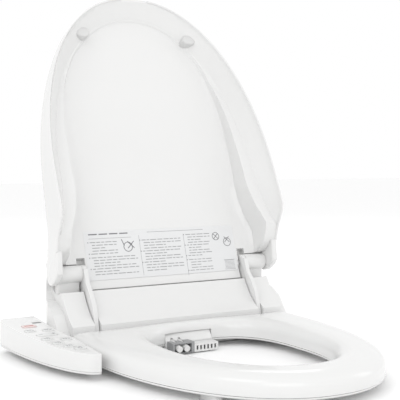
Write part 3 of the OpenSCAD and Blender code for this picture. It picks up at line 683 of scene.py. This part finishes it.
def seat_ring(part, z, inset=0.0):
    """One outline between the ring's outer edge (part 0) and its hole (part 1)."""
    ring = []
    outside = oval(SEAT_HALF - inset, SEAT_REACH - inset, SEAT_BACK + inset)
    for (x, y), (u, v) in zip(outside, seat_hole(inset)):
        width = math.hypot(u - x, v - y)
        p = part(width) if callable(part) else part
        ring.append((x + (u - x) * p, y + (v - y) * p + HINGE_Y,
                     z(width, y) if callable(z) else z))
    return ring


def crown(share, side):
    """Roll of the ring's top, at a share of the roll's width from the outer or inner edge."""
    def part(width):
        roll = min(26.0, width * 0.42) * share / width
        return roll if side == "out" else 1 - roll

    def z(width, y):
        rise = min(15.0, width * 0.5)
        return SEAT_TOP - rise * (1 - math.sqrt(max(0.0, 1 - (1 - share) ** 2)))
    return part, z


rings = [seat_ring(0, 13.4, 0.9), seat_ring(0, 13.6, 0.25), seat_ring(0, 14.4)]
rings.append(seat_ring(0, lambda width, y: SEAT_TOP - min(15.0, width * 0.5) - 2))
for share in (0.0, 0.04, 0.12, 0.24, 0.4, 0.6, 0.8, 1.0):
    rings.append(seat_ring(*crown(share, "out")))
rings.append(seat_ring(0.5, SEAT_TOP))
for share in (1.0, 0.8, 0.6, 0.4, 0.24, 0.12, 0.04, 0.0):
    rings.append(seat_ring(*crown(share, "in")))
rings.append(seat_ring(1, lambda width, y: SEAT_TOP - min(15.0, width * 0.5) - 2))
rings += [seat_ring(1, 14.4), seat_ring(1, 13.6, 0.25), seat_ring(1, 13.4, 0.9)]
seat = loft("seat_ring", rings, wrap=True)


def arch_block():
    """The arch under the ring's back that clears the washing unit."""
    return block((-48, -127, -2), (32, -90, 27.5))


cut(seat, arch_block())
finish_piece(seat, "seat", gloss_white, "seat_shell", angle=30)

base = loft("seat_base_plate", [
    seat_ring(0, 11.2, 1.2), seat_ring(0, 12.9, 1.0), seat_ring(1, 12.9, 1.0),
    seat_ring(1, 11.2, 1.2), seat_ring(1, 10.1, 2.4), seat_ring(0, 10.1, 2.4)], wrap=True)
cut(base, arch_block())
finish_piece(base, "seat", gloss_white, "seat_base", angle=30)


# ---------------------------------------------------------------- body
# The body is a white cover on a satin base. Its front curls back into a trough for the lid's
# tail, two slots hold the seat's arms and the hump behind holds the works.

softened("body_shell", "body_cover", 2.2, "body", gloss_white)
satin_white = moulded("satin_white", (0.72, 0.72, 0.715), 0.42, grain=0.25)
softened("body_tray", "body_base", 0.8, "body", satin_white, slot="white_matte")
for side in ("left", "right"):
    softened("arm_" + side, "seat_arm_" + side, 1.6, "seat", gloss_white)
    softened("barrel_" + side, "hinge_barrel_" + side, 2.4, "body", gloss_white)

# ---------------------------------------------------------------- control panel
# The side panel is a white case on a satin floor. Its white buttons carry small grey marks,
# the stop button a red bar, and a dark window lets the remote's signal in.

softened("panel_case", "wing_cover", 2.4, "body", gloss_white, segments=4)
softened("panel_floor", "wing_base", 0.8, "body", satin_white, slot="white_matte")
smoke = moulded("smoke_window", (0.02, 0.02, 0.025), 0.12, waviness=0.01,
                Coat_Weight=0.5, Coat_Roughness=0.05)
softened("signal_window", "wing_window", 0.5, "body", smoke, slot="dark_window", segments=2)
button_white = moulded("button_white", (0.72, 0.725, 0.72), 0.3, grain=0.1)
stop_pink = moulded("stop_pink", (0.74, 0.60, 0.585), 0.32, grain=0.1)
print_red = moulded("print_red", (0.42, 0.06, 0.05), 0.4, waviness=0.0)
FACE_TILT = math.radians(2.6)
FACE_Y, FACE_Z = 12, 46.0  # a place on the panel's sloped face


def middle(node):
    """Middle of a CAD node's box in plan, in mm."""
    low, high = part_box(node)
    return (low[0] + high[0]) * 500, (low[1] + high[1]) * 500


def face_z(y):
    """Height of the panel's face."""
    return FACE_Z + (y - FACE_Y) * math.tan(FACE_TILT)


def sign(x, y, kind):
    """A small generic picture on a button: a ring with two drops, waves or a bar in a ring."""
    if kind == "drop":
        return circle_marks(x - 2, y, 2.2, 0.6, 10) + [
            (x + 3, y, 3.6, 0.6, 60), (x + 4.6, y, 3.6, 0.6, 60)]
    if kind == "waves":
        return [(x + dx, y + dy, 2.6, 0.6, turn)
                for dx in (-3, 0, 3) for dy, turn in ((-1.2, 60), (1.0, 120))]
    return circle_marks(x, y, 2.6, 0.6, 12) + [(x, y + 2.6, 2.6, 0.7, 90)]


SIGNS = {"wash": "drop", "front_wash": "drop", "dry": "waves", "nozzle": "drop",
         "water_heat": "waves", "seat_heat": "waves", "power": "bar"}
for name in ("stop", "wash", "front_wash", "pressure", "dry", "nozzle", "water_heat", "seat_heat",
             "power"):
    node = "button_" + name
    paint = stop_pink if name == "stop" else button_white
    softened("cap_" + name, node, 0.7, node, paint, slot="white_gloss", segments=2)
    x, y = middle(node)
    if name == "stop":
        marks, ink = [(x, y, 13, 3.0, 0)], print_red
    elif name == "pressure":
        marks = [(x - 9, y, 5, 0.8, 0), (x + 9, y, 5, 0.8, 0), (x + 9, y, 5, 0.8, 90)]
        ink = print_grey
    else:
        marks, ink = sign(x, y, SIGNS[name]), print_grey
    finish_piece(prints("sign_" + name, marks, lambda y: face_z(y) + 0.93, FACE_TILT), node, ink,
                 slot="grey_plastic")
rows = []
for name in ("wash", "front_wash", "dry", "nozzle", "water_heat", "seat_heat", "power", "stop"):
    x, y = middle("button_" + name)
    rows += [(x - 3, y + 8.4, 5, 0.8, 0), (x + 3.4, y + 8.4, 4, 0.8, 0)]
finish_piece(prints("panel_print", rows, lambda y: face_z(y) + 0.03, FACE_TILT), "body",
             print_pale, slot="label_film")

# ---------------------------------------------------------------- wash unit and works
# Under the ring's arch stand the white housing, the grey guard round the nozzle tips and the
# slotted outlet. Behind them are the plastic, metal and board parts inside the body.

softened("wash_housing", "wash_cover", 1.6, "body", gloss_white)
guard_grey = moulded("guard_grey", (0.30, 0.305, 0.31), 0.38, grain=0.15)
softened("tip_guard", "nozzle_guard", 0.7, "body", guard_grey, slot="grey_plastic")
softened("air_grille", "air_outlet", 0.5, "body", satin_white, slot="white_matte", segments=2)


def metal(name, colour, roughness):
    """Turned or drawn metal, with fine lines along it."""
    finish = Finish(name, colour, roughness, Metallic=1.0)
    lines = finish.noise(60.0, 4.0, (30.0, 1.0, 30.0))
    finish.feed("Roughness", roughness - 0.06 + lines * 0.14)
    finish.bump(lines, 0.08, 0.0004)
    return finish.material


def board(name, colour):
    """Circuit board: lacquer over tracks, with pale solder spots."""
    finish = Finish(name, colour, 0.35, Coat_Weight=0.3)
    tracks = finish.node("ShaderNodeTexBrick", {}, {
        "Vector": finish.place, "Scale": 160.0, "Mortar Size": 0.03}, out=1)
    finish.tint(tracks, colour, [min(1, c * 1.8 + 0.03) for c in colour])
    finish.bump(tracks, 0.2, 0.0002)
    return finish.material


steel = metal("drawn_steel", (0.62, 0.62, 0.63), 0.28)
brass = metal("plated_brass", (0.72, 0.68, 0.58), 0.26)
foil = metal("heater_foil", (0.80, 0.72, 0.50), 0.4)
green_board = board("green_board", (0.02, 0.16, 0.06))
grey_plastic = moulded("grey_plastic", (0.36, 0.365, 0.37), 0.45, grain=0.4)
dark_plastic = moulded("dark_plastic", (0.06, 0.06, 0.065), 0.42, grain=0.4)
ivory_plastic = moulded("ivory_plastic", (0.62, 0.58, 0.47), 0.4, grain=0.2)
blue_plastic = moulded("blue_plastic", (0.10, 0.20, 0.34), 0.4, grain=0.3)
dark_rubber = moulded("dark_rubber", (0.035, 0.035, 0.037), 0.72, grain=0.7)
INNER = {
    "mounting_plate": grey_plastic, "body_feet": dark_rubber, "release_button": grey_plastic,
    "hinge_pin_left": steel, "hinge_pin_right": steel, "seat_damper": dark_plastic,
    "lid_damper": dark_plastic, "seat_heater": foil, "seat_buffers": soft_white,
    "wing_board": green_board, "nozzle_cradle": grey_plastic, "wash_nozzle": satin_white,
    "front_nozzle": satin_white, "wash_gear": ivory_plastic, "front_gear": ivory_plastic,
    "wash_motor": steel, "front_motor": steel, "air_duct": grey_plastic,
    "fan_housing": dark_plastic, "fan_wheel": dark_plastic, "fan_motor": steel,
    "water_heater": satin_white, "inlet_valve": blue_plastic, "water_inlet": brass,
    "water_filter": satin_white, "drain_plug": grey_plastic, "control_board": green_board,
    "power_board": green_board, "cord_gland": dark_rubber, "case_screws": steel,
}
for name, paint in INNER.items():
    for holder in nodes[name].material_slots:
        holder.material = paint
